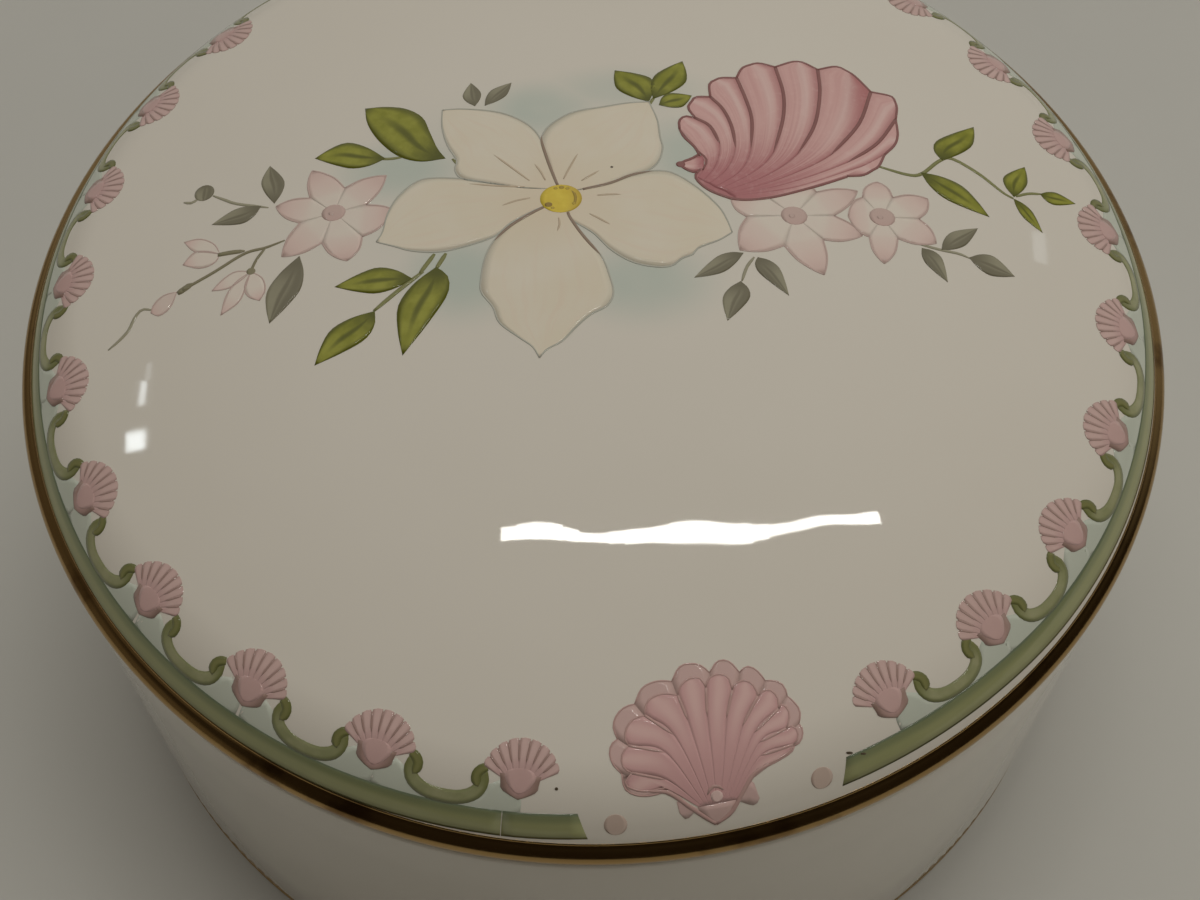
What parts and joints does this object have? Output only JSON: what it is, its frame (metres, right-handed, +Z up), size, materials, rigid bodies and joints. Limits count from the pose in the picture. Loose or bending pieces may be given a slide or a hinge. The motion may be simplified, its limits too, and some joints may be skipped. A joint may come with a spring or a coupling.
{
  "type": "trinket box",
  "caption": "Round porcelain trinket box: a drum base on a foot ring and a domed lid with a locating flange that lifts off.",
  "frame": {"origin": "middle of the foot ring's resting face, on the surface that the box stands on", "axes": "+Z up through the middle of the lid, -Y towards the front, where the border of the lid is open around the large shell"},
  "size_m": [0.104, 0.104, 0.0571],
  "materials": {
    "glazed_china": "gloss",
    "burnished_gold": "polished",
    "printed_enamel": "gloss"
  },
  "bodies": {
    "base": {"base": "glazed_china"},
    "lid": {"lid": "glazed_china"}
  },
  "joints": [
    {"name": "lid_lift", "type": "slide", "parent": "base", "child": "lid", "axis": [0, 0, 1], "range_m": [0, 0.08]}
  ]
}
